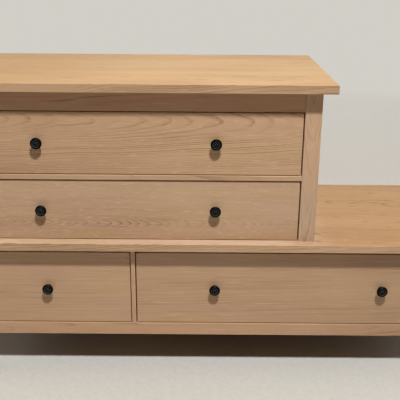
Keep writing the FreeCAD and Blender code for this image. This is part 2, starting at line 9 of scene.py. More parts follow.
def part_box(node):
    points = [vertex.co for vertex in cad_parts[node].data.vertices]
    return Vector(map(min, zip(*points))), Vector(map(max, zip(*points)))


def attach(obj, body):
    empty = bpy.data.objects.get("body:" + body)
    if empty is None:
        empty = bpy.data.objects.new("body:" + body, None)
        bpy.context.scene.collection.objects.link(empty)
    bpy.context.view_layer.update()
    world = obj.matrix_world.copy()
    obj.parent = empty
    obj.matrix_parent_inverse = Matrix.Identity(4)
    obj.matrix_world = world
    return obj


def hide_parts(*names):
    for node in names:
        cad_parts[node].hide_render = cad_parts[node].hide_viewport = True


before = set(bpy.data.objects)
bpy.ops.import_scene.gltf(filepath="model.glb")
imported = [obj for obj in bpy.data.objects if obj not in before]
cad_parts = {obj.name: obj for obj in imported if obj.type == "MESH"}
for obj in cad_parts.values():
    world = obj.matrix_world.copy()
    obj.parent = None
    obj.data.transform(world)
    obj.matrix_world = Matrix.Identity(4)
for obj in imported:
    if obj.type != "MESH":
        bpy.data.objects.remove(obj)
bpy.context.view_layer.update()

# Looks of a stepped dresser: satin wood boards with a solid grain, and turned black knobs.
# Metres, +X to the right, +Y to the back, +Z up.

scene = bpy.context.scene
scene.view_settings.view_transform = "Standard"

DRAWERS = ("top_drawer", "second_drawer", "narrow_drawer", "wide_drawer")

# Wood colours, linear: the darkest lines, the middle tone and the palest bands
FRONT_TONES = ((0.285, 0.162, 0.084), (0.478, 0.304, 0.178), (0.566, 0.388, 0.244))
CASE_TONES = ((0.312, 0.184, 0.104), (0.507, 0.330, 0.205), (0.595, 0.410, 0.266))
RAIL_TONES = ((0.290, 0.160, 0.084), (0.480, 0.296, 0.172), (0.570, 0.378, 0.235))
UPPER_TOP_TONES = ((0.350, 0.185, 0.074), (0.545, 0.335, 0.157), (0.620, 0.405, 0.200))
BASE_TOP_TONES = ((0.262, 0.128, 0.046), (0.435, 0.246, 0.109), (0.515, 0.312, 0.151))
# Paler tones painted on the base top in front of the chest, as light bounced there from the chest
BOUNCE_LIT_TONES = ((0.385, 0.250, 0.148), (0.575, 0.405, 0.280), (0.660, 0.490, 0.365))
BOX_TONES = ((0.440, 0.290, 0.160), (0.640, 0.470, 0.300), (0.720, 0.560, 0.380))
# Near-black tones painted on the undersides of the drawer bottoms, to darken the shade under the case
UNDER_CASE_SHADE_TONES = ((0.060, 0.030, 0.016), (0.110, 0.055, 0.029), (0.150, 0.080, 0.044))
PLY_TONES = ((0.420, 0.270, 0.150), (0.600, 0.435, 0.280), (0.680, 0.520, 0.350))

# Tints that patches of the same board lean to
ROSY = (1.010, 0.990, 1.035)
GOLDEN = (0.988, 1.012, 0.950)
PLAIN = (1.0, 1.0, 1.0)

# Turns that bring a board's grain onto X
GRAIN_TURNS = {"X": (0, 0, 0), "Y": (0, 0, -math.pi / 2), "Z": (0, math.pi / 2, 0)}

# Level of a board's tone, 0 at its darkest and 1 at its palest: where it starts, how far boards
# differ there, and how far each part of the grain moves it
GROUND_LEVEL = 0.62
BOARD_SPREAD = 0.03
RING_WEIGHT = -0.44
FIBRE_WEIGHT = 0.42
BLOTCH_WEIGHT = 0.50
PORE_WEIGHT = -0.16
STREAK_WEIGHT = 0.40
STAVE_WEIGHT = 0.22
DARK_FLECK = 0.70
PALE_FLECK = 0.40

# Waves of noise per metre, along the grain and twice across it
PATCH_WAVES = (2.6, 20, 20)
FIBRE_WAVES = (7, 210, 210)
BLOTCH_WAVES = (2.2, 9, 9)
PORE_WAVES = (60, 1500, 1500)
STREAK_WAVES = (70, 330, 330)
FLECK_WAVES = (16, 75, 75)
HUE_WAVES = (3.5, 24, 24)

# Waves per metre of the sway of the fibres, and across the rings of their width and strength
SWAY_WAVES = 11.0
RING_WIDTH_WAVES = 70.0
RING_STRENGTH_WAVES = 150.0

# Values of a noise between which what it drives goes from its least to its most
RING_RANGE = (0.35, 0.68)
PATCH_RANGE = (0.34, 0.62)
PORE_RANGE = (0.62, 0.74)
STREAK_RANGE = (0.58, 0.74)
DARK_FLECK_RANGE = (0.70, 0.80)
PALE_FLECK_RANGE = (0.30, 0.20)
WEAR_AND_HIGHLIGHT_RANGE = (0.35, 0.65)
HUE_RANGE = (0.36, 0.64)

# How far a ring may be moved, in ring widths, and its darkness from early to late wood
RING_SHIFT = 1.6
RING_PROFILE = ((0.0, 0.0), (0.60, 0.08), (0.86, 0.80), (0.94, 1.0), (1.0, 0.0))

# The most strength of a ring and the least and most of a patch of rings, and what is left of
# the strength where the rings have faded along the grain or beside the pith
RING_MOST = 1.3
PATCH_LEAST, PATCH_MOST = 0.2, 1.5
CALM_LEFT = 0.25
FOCUS_LEFT = 0.3

# How far the grain of one stave of a glued-up board lies from that of the next
STAVE_MOVES = (9.0, 0.10, 0.06)

# How far edge wear and painted edge highlights reach in from an edge, and rim tones and the painted
# underside shade from their faces
EDGE_REACH = 0.004
RIM_REACH = 0.0016
UNDERSIDE_SHADE_BEGIN, UNDERSIDE_SHADE_FULL = 0.0010, 0.0005

# How much paler an edge is, partly worn and partly a painted highlight, at the least and the most
WEAR_AND_HIGHLIGHT_LEAST, WEAR_AND_HIGHLIGHT_MOST = 0.03, 0.20

# What fibres and pores add to the roughness, and how high the rings stand
FIBRE_ROUGHNESS = 0.16
PORE_ROUGHNESS = 0.12
RING_HEIGHT = 0.25


def shaded(tones, share):
    """The same tones with each colour part scaled by its share."""
    return [[part * scale for part, scale in zip(tone, share)] for tone in tones]


class Paint:
    """A material with a principled shader, and short calls to add and join nodes."""

    def __init__(self, name):
        self.material = bpy.data.materials.new(name)
        self.material.use_nodes = True
        tree = self.material.node_tree
        tree.nodes.clear()
        self.nodes = tree.nodes
        self.links = tree.links
        output = self.nodes.new("ShaderNodeOutputMaterial")
        self.shader = self.nodes.new("ShaderNodeBsdfPrincipled")
        self.links.new(self.shader.outputs["BSDF"], output.inputs["Surface"])
        self.place = self.nodes.new("ShaderNodeTexCoord").outputs["Object"]

    def give(self, socket, value):
        """Join a socket to another one, or set it to a constant."""
        if isinstance(value, bpy.types.NodeSocket):
            self.links.new(value, socket)
        else:
            socket.default_value = value

    def set(self, name, value):
        """Give a value to one of the shader's own sockets."""
        self.give(self.shader.inputs[name], value)

    def math(self, operation, first, second=0.0, third=0.0):
        node = self.nodes.new("ShaderNodeMath")
        node.operation = operation
        for socket, value in zip(node.inputs, (first, second, third)):
            self.give(socket, value)
        return node.outputs[0]

    def plus(self, total, part, weight):
        """The total with a weighted part added."""
        return self.math("MULTIPLY_ADD", part, weight, total)

    def vector(self, operation, first, second=(0, 0, 0), scale=1.0):
        node = self.nodes.new("ShaderNodeVectorMath")
        node.operation = operation
        self.give(node.inputs[0], first)
        if operation == "SCALE":
            node.inputs["Scale"].default_value = scale
        elif operation not in ("LENGTH", "ABSOLUTE"):
            self.give(node.inputs[1], second)
        return node.outputs["Value" if operation == "LENGTH" else "Vector"]

    def parts(self, vector):
        node = self.nodes.new("ShaderNodeSeparateXYZ")
        self.give(node.inputs[0], vector)
        return node.outputs

    def mapping(self, vector, move=(0, 0, 0), turn=(0, 0, 0), scale=(1, 1, 1)):
        node = self.nodes.new("ShaderNodeMapping")
        self.give(node.inputs["Vector"], vector)
        node.inputs["Location"].default_value = move
        node.inputs["Rotation"].default_value = turn
        node.inputs["Scale"].default_value = scale
        return node.outputs["Vector"]

    def noise(self, vector, scale, detail=2.0, roughness=0.5, output="Fac"):
        node = self.nodes.new("ShaderNodeTexNoise")
        self.give(node.inputs["Vector"], vector)
        node.inputs["Scale"].default_value = scale
        node.inputs["Detail"].default_value = detail
        node.inputs["Roughness"].default_value = roughness
        return node.outputs[output]

    def line_noise(self, number, scale, detail):
        node = self.nodes.new("ShaderNodeTexNoise")
        node.noise_dimensions = "1D"
        self.give(node.inputs["W"], number)
        node.inputs["Scale"].default_value = scale
        node.inputs["Detail"].default_value = detail
        return node.outputs["Fac"]

    def ramp(self, number, stops):
        """A colour ramp through (position, colour) stops; a colour may be one grey number."""
        node = self.nodes.new("ShaderNodeValToRGB")
        self.give(node.inputs["Fac"], number)
        elements = node.color_ramp.elements
        while len(elements) < len(stops):
            elements.new(1.0)
        for element, (position, colour) in zip(elements, stops):
            element.position = position
            if isinstance(colour, (int, float)):
                colour = (colour, colour, colour)
            element.color = (*colour, 1.0)
        return node.outputs["Color"]

    def tones(self, level, tones):
        """A ramp through the dark, middle and pale tones of a wood."""
        return self.ramp(level, list(zip((0.0, 0.5, 1.0), tones)))

    def spread(self, number, begin, full, low=0.0, high=1.0):
        """From low to high as a number goes from begin to full, and no further."""
        node = self.nodes.new("ShaderNodeMapRange")
        self.give(node.inputs["Value"], number)
        node.inputs["From Min"].default_value = begin
        node.inputs["From Max"].default_value = full
        node.inputs["To Min"].default_value = low
        node.inputs["To Max"].default_value = high
        return node.outputs["Result"]

    def blend(self, share, first, second):
        """From the first colour to the second as share goes from 0 to 1."""
        node = self.nodes.new("ShaderNodeMix")
        node.data_type = "RGBA"
        self.give(node.inputs["Factor"], share)
        self.give(node.inputs[6], first)
        self.give(node.inputs[7], second)
        return node.outputs[2]

    def bump(self, height, strength, distance):
        node = self.nodes.new("ShaderNodeBump")
        self.give(node.inputs["Height"], height)
        node.inputs["Strength"].default_value = strength
        node.inputs["Distance"].default_value = distance
        self.set("Normal", node.outputs["Normal"])


class Wood(Paint):
    """Solid wood for one board: the grain runs through it, and each face shows its own cut."""

    def __init__(self, node, axis):
        super().__init__("wood_" + node)
        draw = random.Random(node)
        self.tone_shift = draw.uniform(-BOARD_SPREAD, BOARD_SPREAD)
        self.elsewhere = [draw.uniform(3, 30) for part in range(3)]
        self.low, self.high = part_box(node)
        turn = GRAIN_TURNS[axis]
        turning = Matrix.Rotation(turn[1], 3, "Y") @ Matrix.Rotation(turn[2], 3, "Z")
        middle = turning @ ((self.low + self.high) / 2)
        # The place from the board's middle, with the grain along X
        self.start = self.mapping(self.place, -middle, turn)

    def grain_noise(self, place, waves, detail=2.0, roughness=0.5):
        return self.noise(self.mapping(place, self.elsewhere, scale=waves), 1.0, detail, roughness)

    def split(self, width):
        """Split a glued-up board into staves with a grain of their own, and return their tones."""
        along, sideways, up = self.parts(self.start)
        across = self.math("DIVIDE", sideways, width)
        centred = self.math("SUBTRACT", self.math("FRACT", across), 0.5)
        join = self.nodes.new("ShaderNodeCombineXYZ")
        for socket, value in zip(join.inputs, (along, self.math("MULTIPLY", centred, width), up)):
            self.give(socket, value)
        draw = self.nodes.new("ShaderNodeTexWhiteNoise")
        draw.noise_dimensions = "1D"
        self.give(draw.inputs["W"], self.math("FLOOR", across))
        drawn = self.vector("SUBTRACT", draw.outputs["Color"], (0.5, 0.5, 0.5))
        self.start = self.vector("ADD", join.outputs[0], self.vector("MULTIPLY", drawn, STAVE_MOVES))
        return draw.outputs["Value"]

    def cut(self, pith, tilt, squeeze, sway):
        """Place the board in its tree, and let the fibres sway."""
        self.log = self.vector("SUBTRACT", self.start, (0, *pith))
        stretched = self.mapping(self.log, turn=(0, *tilt), scale=(squeeze, 1, 1))
        moved = self.vector("ADD", stretched, self.elsewhere)
        wave = self.noise(moved, SWAY_WAVES, detail=4.0, roughness=0.48, output="Color")
        shift = self.vector("SCALE", self.vector("SUBTRACT", wave, (0.5, 0.5, 0.5)), scale=sway)
        self.swayed = self.vector("ADD", stretched, shift)

    def rings(self, width, even, calm, focus):
        """Dark lines of late wood round the pith, uneven in width and strength."""
        radius = self.vector("LENGTH", self.vector("MULTIPLY", self.swayed, (0, 1, 1)))
        shift = self.line_noise(radius, RING_WIDTH_WAVES, detail=1.0)
        number = self.math("DIVIDE", self.plus(radius, shift, RING_SHIFT * width), width)
        line = self.ramp(self.math("FRACT", number), RING_PROFILE)
        by_ring = self.line_noise(radius, RING_STRENGTH_WAVES, detail=2.0)
        by_patch = self.grain_noise(self.log, PATCH_WAVES)
        strengths = [
            self.spread(by_ring, *RING_RANGE, even, RING_MOST),
            self.spread(by_patch, *PATCH_RANGE, max(PATCH_LEAST, even), PATCH_MOST),
        ]
        if calm:
            strengths.append(self.spread(self.parts(self.start)["X"], *calm, 1.0, CALM_LEFT))
        if focus:
            aside = self.math("ABSOLUTE", self.parts(self.swayed)["Z"])
            strengths.append(self.spread(aside, *focus, 1.0, FOCUS_LEFT))
        for strength in strengths:
            line = self.math("MULTIPLY", line, strength)
        return line

    def inward(self):
        """How far in a point lies from the nearest edge, and from the nearest upright face."""
        middle = (self.low + self.high) / 2
        half = (self.high - self.low) / 2
        away = self.vector("ABSOLUTE", self.vector("SUBTRACT", self.place, middle))
        x, y, z = self.parts(self.vector("SUBTRACT", half, away))
        from_side = self.math("MINIMUM", x, y)
        other = self.math("MINIMUM", self.math("MAXIMUM", x, y), z)
        return self.math("MAXIMUM", from_side, other), from_side

    def flecks(self):
        """Small dark and pale marks: how far each one lowers the level of the tone."""
        noise = self.grain_noise(self.log, FLECK_WAVES, detail=1.0, roughness=0.4)
        dark = self.spread(noise, *DARK_FLECK_RANGE, high=DARK_FLECK)
        pale = self.spread(noise, *PALE_FLECK_RANGE, high=PALE_FLECK)
        return self.math("SUBTRACT", dark, pale)


def wood(
    node, axis, tones, pith, ring=0.0040, tilt=(0.0, 0.0), squeeze=0.16, sway=0.020,
    contrast=1.0, even=0.0, cloud=1.0, calm=None, focus=None,
    gloss=0.42, wear=1.0, glued=None, drifts=(), underside=None,
):
    """A board's material: rings round a pith, wavy along the grain, fibres, pores, and edges that are
    worn and painted with highlights.

    axis is the way the grain runs, and tones are the board's colours.
    pith is where the middle of the tree lies, across the grain, from the middle of the board.
    ring is the width of a growth ring, and tilt the board's turns out of the line of the tree.
    squeeze shortens the grain before its waves of height sway are made: 1 is as long as wide.
    contrast is how strongly the grain shows, and cloud how strongly the tone drifts.
    even is the least strength of the rings, which fade in and out from it.
    calm is where along the grain the rings begin to fade, and where they have faded.
    focus is how far above or below the pith the rings begin to fade, and where they have faded.
    gloss is the roughness of the finish, and the one after it is how pale the edges are, partly worn
    and partly a painted highlight.
    glued is the width of the staves of a glued-up top, and the tones of its upright faces.
    drifts are changes of tone along an axis, most of them painted light and shade where the light
    falls off: where each begins, where it is full, and its tones.
    underside is the near-black tones painted on a lower face, as shade under the case.
    """
    board = Wood(node, axis)
    if glued:
        stave_width, rim_tones = glued
        stave_tone = board.split(stave_width)
    board.cut(pith, tilt, squeeze, sway)

    rings = board.rings(ring, even, calm, focus)
    fibre = board.grain_noise(board.log, FIBRE_WAVES, detail=3.0, roughness=0.6)
    fibre_part = board.math("SUBTRACT", fibre, 0.5)
    blotch = board.grain_noise(board.log, BLOTCH_WAVES)
    blotch_part = board.math("SUBTRACT", blotch, 0.5)
    pores = board.spread(board.grain_noise(board.log, PORE_WAVES, detail=1.0), *PORE_RANGE)
    streaks = board.spread(board.grain_noise(board.swayed, STREAK_WAVES), *STREAK_RANGE)
    level = board.plus(GROUND_LEVEL + board.tone_shift, rings, RING_WEIGHT * contrast)
    level = board.plus(level, fibre_part, FIBRE_WEIGHT * contrast)
    level = board.plus(level, blotch_part, BLOTCH_WEIGHT * contrast * cloud)
    level = board.plus(level, pores, PORE_WEIGHT * contrast)
    level = board.plus(level, streaks, STREAK_WEIGHT * contrast)

    from_edge, from_side = board.inward()
    # Paler edges: partly wear, partly a painted highlight along the arrises
    patchy_wear_and_highlight = board.spread(blotch, *WEAR_AND_HIGHLIGHT_RANGE, WEAR_AND_HIGHLIGHT_LEAST * wear, WEAR_AND_HIGHLIGHT_MOST * wear)
    edge_wear_and_highlight = board.math("MULTIPLY", board.spread(from_edge, EDGE_REACH, 0.0), patchy_wear_and_highlight)
    if glued:
        side = board.spread(from_side, RIM_REACH, 0.0)
        face = board.math("SUBTRACT", 1.0, side)
        edge_wear_and_highlight = board.math("MULTIPLY", edge_wear_and_highlight, face)
        level = board.plus(level, board.math("SUBTRACT", stave_tone, 0.5), STAVE_WEIGHT)
        level = board.math("SUBTRACT", level, board.math("MULTIPLY", board.flecks(), face))
    level = board.math("ADD", level, edge_wear_and_highlight)

    rosy, golden = [board.tones(level, shaded(tones, tint)) for tint in (ROSY, GOLDEN)]
    hue = board.spread(board.grain_noise(board.log, HUE_WAVES), *HUE_RANGE)
    colour = board.blend(hue, rosy, golden)
    for axis_name, begin, full, drift_tones in drifts:
        share = board.spread(board.parts(board.place)[axis_name], begin, full)
        colour = board.blend(share, colour, board.tones(level, drift_tones))
    if glued:
        colour = board.blend(side, colour, board.tones(level, rim_tones))
    # Painted shade: the lower face is darkened
    if underside:
        above = board.math("SUBTRACT", board.parts(board.place)["Z"], board.low.z)
        underside_shade = board.spread(above, UNDERSIDE_SHADE_BEGIN, UNDERSIDE_SHADE_FULL)
        colour = board.blend(underside_shade, colour, board.tones(level, underside))
    board.set("Base Color", colour)
    roughness = board.plus(gloss, fibre_part, FIBRE_ROUGHNESS)
    board.set("Roughness", board.plus(roughness, pores, PORE_ROUGHNESS))
    board.set("Specular IOR Level", 0.35)
    height = board.plus(board.math("SUBTRACT", fibre, pores), rings, RING_HEIGHT)
    board.bump(height, strength=0.10, distance=0.0004)
    return board.material


# Radii of the turned edges on a knob's face, painted with light rings as highlights: the highlight is
# full out to the first distance from an edge and gone from the second
KNOB_GLINT_EDGES = (0.0040, 0.0090)
GLINT_CORE_REACH, GLINT_FADE_REACH = 0.0004, 0.0012

# Where the rim of a knob begins, as a share of its radius
KNOB_RIM = 0.93

# Black paint from thick to thin on the rim, ending in the grey of the painted highlights
BLACKS_AND_GLINT = (
    (0.0, (0.0012, 0.001, 0.001)),
    (0.2, (0.0025, 0.0022, 0.002)),
    (1.0, (0.060, 0.062, 0.064)),
)


def painted_knob(node):
    """Satin black paint with a fine orange peel, dulled by fingers, thin on the rim, with painted
    highlights on the turned edges.
    """
    low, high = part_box(node)
    radius = (high.x - low.x) / 2
    paint = Paint("black_" + node)
    local = paint.vector("SUBTRACT", paint.place, (low + high) / 2)
    out = paint.vector("LENGTH", paint.vector("MULTIPLY", local, (1, 0, 1)))
    smear = paint.noise(local, 90.0, detail=3.0, roughness=0.6)
    rim = paint.spread(out, KNOB_RIM * radius, radius)
    worn_and_glint = paint.math("MULTIPLY", rim, paint.spread(smear, 0.4, 0.7, high=0.4))
    # Painted highlights: light rings on the turned edges of the face
    for edge in KNOB_GLINT_EDGES:
        away = paint.math("ABSOLUTE", paint.math("SUBTRACT", out, edge))
        worn_and_glint = paint.math("MAXIMUM", worn_and_glint, paint.spread(away, GLINT_FADE_REACH, GLINT_CORE_REACH))
    shade = paint.plus(paint.math("MULTIPLY", worn_and_glint, 0.8), smear, 0.2)
    paint.set("Base Color", paint.ramp(shade, BLACKS_AND_GLINT))
    paint.set("Roughness", paint.spread(smear, 0.3, 0.7, low=0.30, high=0.42))
    paint.set("Specular IOR Level", 0.04)
    paint.bump(paint.noise(local, 2600.0), strength=0.08, distance=0.0002)
    return paint.material


def plated_steel(name):
    """Zinc plate with a cloudy sheen and fine turning marks."""
    paint = Paint("zinc_" + name)
    cloud = paint.noise(paint.place, 240.0, detail=3.0, roughness=0.6)
    marks = paint.noise(paint.mapping(paint.place, scale=(900, 4000, 900)), 1.0, detail=1.0)
    colour = paint.ramp(cloud, ((0.25, (0.40, 0.41, 0.43)), (0.75, (0.62, 0.62, 0.60))))
    paint.set("Base Color", colour)
    paint.set("Metallic", 1.0)
    paint.set("Roughness", paint.spread(cloud, 0.3, 0.7, low=0.26, high=0.46))
    paint.bump(marks, strength=0.10, distance=0.0001)
    return paint.material


def dress(node, material):
    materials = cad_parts[node].data.materials
    materials.clear()
    materials.append(material)


def dress_in_wood(node, axis, tones, pith, **looks):
    dress(node, wood(node, axis, tones, pith, **looks))


# Both tops are glued up from staves of one width, with a wavy figure
STAVE_WIDTH = 0.133
TOP_CUT = {"pith": (0.02, -0.11), "tilt": (0.05, 0.10), "squeeze": 0.30, "sway": 0.030}


def dress_tops():
    """Painted light on the tops: the upper top is painted darker and more golden to its left end and
    back, paler to its front, and the base top painted paler in front of the chest and to its left
    end, as bounced light.
    """
    # Painted light and shade on the upper top: its tones are darkened all over, then painted paler
    # towards the front and darker, more golden towards the left end
    upper_painted_falloff = (
        ("Y", 0.10, -0.25, shaded(UPPER_TOP_TONES, (1.04, 1.07, 1.05))),
        ("X", -0.22, -0.55, shaded(UPPER_TOP_TONES, (0.91, 0.89, 0.80))),
    )
    # Painted light on the base top: paler in front of the chest, and paler still towards its left end
    base_painted_light = (
        ("X", 0.33, 0.18, BOUNCE_LIT_TONES),
        ("X", -0.10, -0.55, shaded(BOUNCE_LIT_TONES, (1.08, 1.14, 1.09))),
    )
    dress_in_wood(
        "upper_top", "X", shaded(UPPER_TOP_TONES, (0.95, 0.96, 0.95)), **TOP_CUT,
        glued=(STAVE_WIDTH, shaded(FRONT_TONES, (0.94, 0.94, 0.93))), drifts=upper_painted_falloff,
        contrast=0.9, cloud=2.2, wear=0.6,
    )
    # The base top's edges are painted paler than the other boards', as the highlight along its front
    # arris
    dress_in_wood(
        "base_top", "X", shaded(BASE_TOP_TONES, (0.96, 0.97, 0.96)), **TOP_CUT,
        glued=(STAVE_WIDTH, shaded(FRONT_TONES, (1.03, 1.04, 1.03))), drifts=base_painted_light,
        contrast=1.2, wear=1.5,
    )


# Tints of some rails: the frieze rail, which always lies in the top's shadow, is painted redder as
# the warm hue of that shade, and the middle rail is a little pinker than the others
RAIL_TINTS_AND_SHADE_HUE = {"frieze_rail": (1.0, 0.94, 0.95), "middle_rail": (0.94, 0.97, 1.0)}

# Legs and posts are cut near the middle of the tree, so that their fronts show arches
UPRIGHT_DEPTH = 0.024
UPRIGHT_CUT = {
    "tilt": (0.0, 0.16), "squeeze": 0.30, "sway": 0.016, "ring": 0.0034, "contrast": 0.9, "even": 0.4,
}

# End panels and the partition show a quiet figure, and the plywood backs the quietest
QUIET_CUT = {"tilt": (0.08, 0.05), "squeeze": 0.26, "sway": 0.030, "contrast": 0.8}
PLY_CUT = {"tilt": (0.08, 0.05), "contrast": 0.5}


def dress_case():
    """Boards of the case: the posts grow pinker downwards, and the bottom rail is painted darker to
    the right, as shade where the light falls off.
    """
    post_drift = ("Z", 0.62, 0.48, shaded(CASE_TONES, (0.95, 0.98, 1.01)))
    # Painted shade: the bottom rail darkens towards its right end, where the light falls off
    rail_painted_shade = ("X", 0.10, 0.50, shaded(RAIL_TONES, (0.88, 0.89, 0.88)))
    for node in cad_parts:
        draw = random.Random("pith " + node)
        pith = (draw.choice((-1, 1)) * draw.uniform(0.06, 0.12), draw.uniform(-0.05, 0.05))
        if node.endswith(("_leg", "_post")):
            pith = (UPRIGHT_DEPTH, draw.uniform(-0.006, 0.006))
            drifts = [post_drift] if node.endswith("_post") else []
            dress_in_wood(node, "Z", CASE_TONES, pith, drifts=drifts, **UPRIGHT_CUT)
        elif node.endswith("back_panel"):
            dress_in_wood(node, "Z", PLY_TONES, pith, **PLY_CUT)
        elif node.endswith("_panel"):
            dress_in_wood(node, "Z", CASE_TONES, pith, **QUIET_CUT)
        elif node == "partition":
            dress_in_wood(node, "Z", RAIL_TONES, pith, wear=0.3, **QUIET_CUT)
        elif node.endswith("_rail"):
            # The frieze rail's redder tint is the painted hue of shade
            tones = shaded(RAIL_TONES, RAIL_TINTS_AND_SHADE_HUE.get(node, PLAIN))
            drifts = [rail_painted_shade] if node == "bottom_rail" else []
            dress_in_wood(node, "X", tones, pith, tilt=(0.06, 0.08), wear=0.3, drifts=drifts)
        elif node.endswith("_runners"):
            dress_in_wood(node, "Y", BOX_TONES, pith)
        elif node == "dowels":
            dress_in_wood(node, "Z", BOX_TONES, pith, ring=0.003)


# How each front lies in its tree and shows its grain, with painted shade on two of them where the
# light falls off
FRONT_CUTS = {
    "top_drawer": {
        "pith": (0.048, 0.062), "tilt": (0.0, -0.21), "squeeze": 0.30, "sway": 0.018,
        "ring": 0.0042, "contrast": 1.3, "even": 0.35,
        # Painted shade: the top front darkens towards its left end, where the light falls off
        "drifts": [("X", 0.02, -0.25, shaded(FRONT_TONES, (0.95, 0.935, 0.92)))],
    },
    "second_drawer": {
        "pith": (0.022, -0.037), "tilt": (0.0, -0.312), "squeeze": 0.30, "sway": 0.013,
        "ring": 0.0024, "contrast": 1.45, "even": 0.6, "calm": (0.03, 0.12), "focus": (0.008, 0.024),
    },
    "narrow_drawer": {
        "pith": (0.060, -0.200), "tilt": (0.02, 0.09), "contrast": 0.9, "ring": 0.0036,
    },
    "wide_drawer": {
        "pith": (0.070, 0.210), "tilt": (0.16, -0.09), "contrast": 1.1, "ring": 0.0036,
        # Painted shade: the wide front darkens towards its right end, where the light falls off
        "drifts": [("X", 0.05, 0.45, shaded(FRONT_TONES, (0.87, 0.86, 0.84)))],
    },
}

# The shade of each front
FRONT_SHADES = {
    "top_drawer": (1.01, 1.02, 1.0), "second_drawer": (0.975, 0.99, 1.025),
    "narrow_drawer": (0.98, 0.98, 0.99), "wide_drawer": (0.97, 0.97, 0.99),
}

FRONT_GLOSS = 0.44
BOX_GLOSS = 0.52
PLY_GLOSS = 0.55

# Sides and backs of the drawer boxes, and their thin plywood bottoms
BOX_TILT = (0.08, 0.0)
SIDE_PITH = (0.09, 0.03)
BACK_PITH = (0.09, -0.03)
BOTTOM_CUT = {"pith": (0.10, -0.16), "ring": 0.008, "tilt": (0.2, 0.1)}


def dress_drawers():
    for drawer in DRAWERS:
        tones = shaded(FRONT_TONES, FRONT_SHADES[drawer])
        dress_in_wood(drawer + "_front", "X", tones, gloss=FRONT_GLOSS, **FRONT_CUTS[drawer])
        box_looks = {"tilt": BOX_TILT, "gloss": BOX_GLOSS}
        for hand in ("left", "right"):
            dress_in_wood(f"{drawer}_{hand}_side", "Y", BOX_TONES, SIDE_PITH, **box_looks)
        dress_in_wood(drawer + "_back", "X", BOX_TONES, BACK_PITH, **box_looks)
        # The bottoms' undersides are painted near-black, as shade under the case
        bottom_looks = {"gloss": PLY_GLOSS, "underside": UNDER_CASE_SHADE_TONES}
        dress_in_wood(drawer + "_bottom", "X", PLY_TONES, **BOTTOM_CUT, **bottom_looks)
        dress(drawer + "_knob_screws", plated_steel(drawer + "_knob_screws"))
    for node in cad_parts:
        if node.endswith("_knob"):
            dress(node, painted_knob(node))


# The floor is whole out to the first distance from the middle, and has faded at the second
FLOOR_FADE = (1.8, 4.4)
FLOOR_HALF = 5.0
FLOOR_GREYS = ((0.3, (0.57, 0.575, 0.54)), (0.7, (0.63, 0.635, 0.60)))
BACKGROUND = (0.64, 0.62, 0.57, 1.0)


def make_floor():
    """A plain pale floor that keeps the object's shadow and fades into the background."""
    mesh = bpy.data.meshes.new("floor")
    corners = [(x * FLOOR_HALF, y * FLOOR_HALF, 0) for x, y in ((-1, -1), (1, -1), (1, 1), (-1, 1))]
    mesh.from_pydata(corners, [], [(0, 1, 2, 3)])
    floor = bpy.data.objects.new("floor", mesh)
    scene.collection.objects.link(floor)
    paint = Paint("pale_floor")
    speck = paint.noise(paint.place, 60.0, detail=3.0, roughness=0.7)
    paint.set("Base Color", paint.ramp(speck, FLOOR_GREYS))
    paint.set("Roughness", 0.9)
    paint.set("Specular IOR Level", 0.2)
    out = paint.vector("LENGTH", paint.place)
    paint.set("Alpha", paint.spread(out, *FLOOR_FADE, low=1.0, high=0.0))
    mesh.materials.append(paint.material)


# Lamps: place, the point they aim at, watts, diameter, and whether satin surfaces mirror them
LAMPS = {
    "key": ((0.36, -2.30, 4.05), (-0.10, -0.20, 0.45), 185.0, 0.34, True),
    "back_fill": ((0.8, 3.6, 2.6), (0.0, 0.2, 0.4), 50.0, 2.5, False),
    "left_fill": ((-3.8, 0.9, 1.5), (0.0, 0.1, 0.4), 22.0, 2.0, False),
    "right_fill": ((3.8, 0.9, 1.5), (0.0, 0.1, 0.4), 22.0, 2.0, False),
}

# Light of the dome, dim low down and warm high up: the sine of the height, and the colour
DOME_COLOURS = ((0.05, (0.02, 0.012, 0.007)), (0.55, (1.0, 0.58, 0.33)))
DOME_STRENGTH = 0.22


def make_lamps():
    """Round soft lamps; one that isn't mirrored leaves no highlight on satin surfaces."""
    for name, (place, aim, watts, diameter, mirrored) in LAMPS.items():
        lamp = bpy.data.lights.new(name, "AREA")
        lamp.shape = "DISK"
        lamp.size = diameter
        lamp.energy = watts
        holder = bpy.data.objects.new(name, lamp)
        holder.location = place
        holder.rotation_euler = (Vector(aim) - Vector(place)).to_track_quat("-Z", "Y").to_euler()
        holder.visible_glossy = mirrored
        scene.collection.objects.link(holder)


